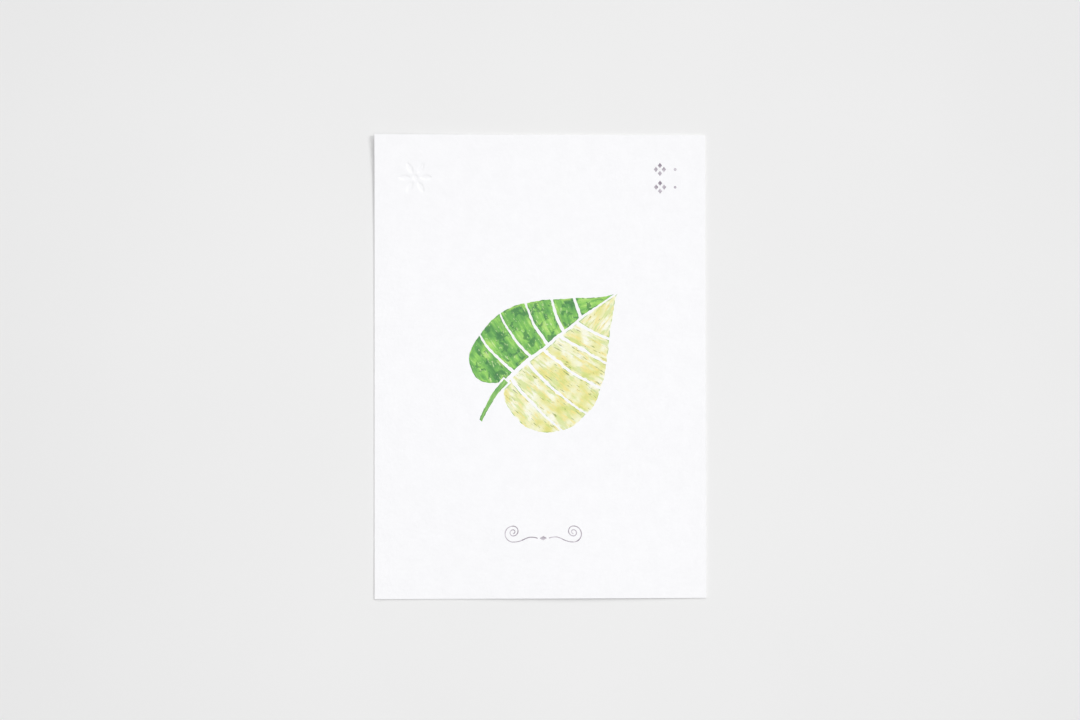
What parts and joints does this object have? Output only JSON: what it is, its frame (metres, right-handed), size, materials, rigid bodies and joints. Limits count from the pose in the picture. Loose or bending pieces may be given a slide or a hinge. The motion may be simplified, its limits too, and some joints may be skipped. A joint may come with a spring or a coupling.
{
  "type": "postcard",
  "caption": "Flat portrait picture postcard of pasted paper plies, with a printed leaf, fine ornaments and a blind pressed rosette on its face and a ruled writing side.",
  "frame": {"origin": "middle of the back face, which lies on the table", "axes": "+X to the right of the picture, +Y to the top of the picture, +Z out of the picture side"},
  "size_m": [0.1, 0.14, 0.0004],
  "materials": {
    "face_paper": "matte uncoated, faintly toothy",
    "core_paper": "matte uncoated",
    "back_paper": "matte uncoated",
    "paste": "dried translucent film",
    "green_ink": "matte ink soaked into the sheet",
    "yellow_green_ink": "matte ink soaked into the sheet",
    "purple_grey_ink": "matte ink soaked into the sheet"
  },
  "bodies": {
    "root": {"face_sheet": "face_paper", "front_paste_film": "paste", "core_sheet": "core_paper", "rear_paste_film": "paste", "back_sheet": "back_paper", "picture_shade_ink": "green_ink", "picture_light_ink": "yellow_green_ink", "picture_stalk_ink": "green_ink", "scroll_ornament_ink": "purple_grey_ink", "corner_ornament_ink": "purple_grey_ink", "divider_rule_ink": "purple_grey_ink", "address_rules_ink": "purple_grey_ink", "stamp_box_ink": "purple_grey_ink"}
  },
  "joints": []
}
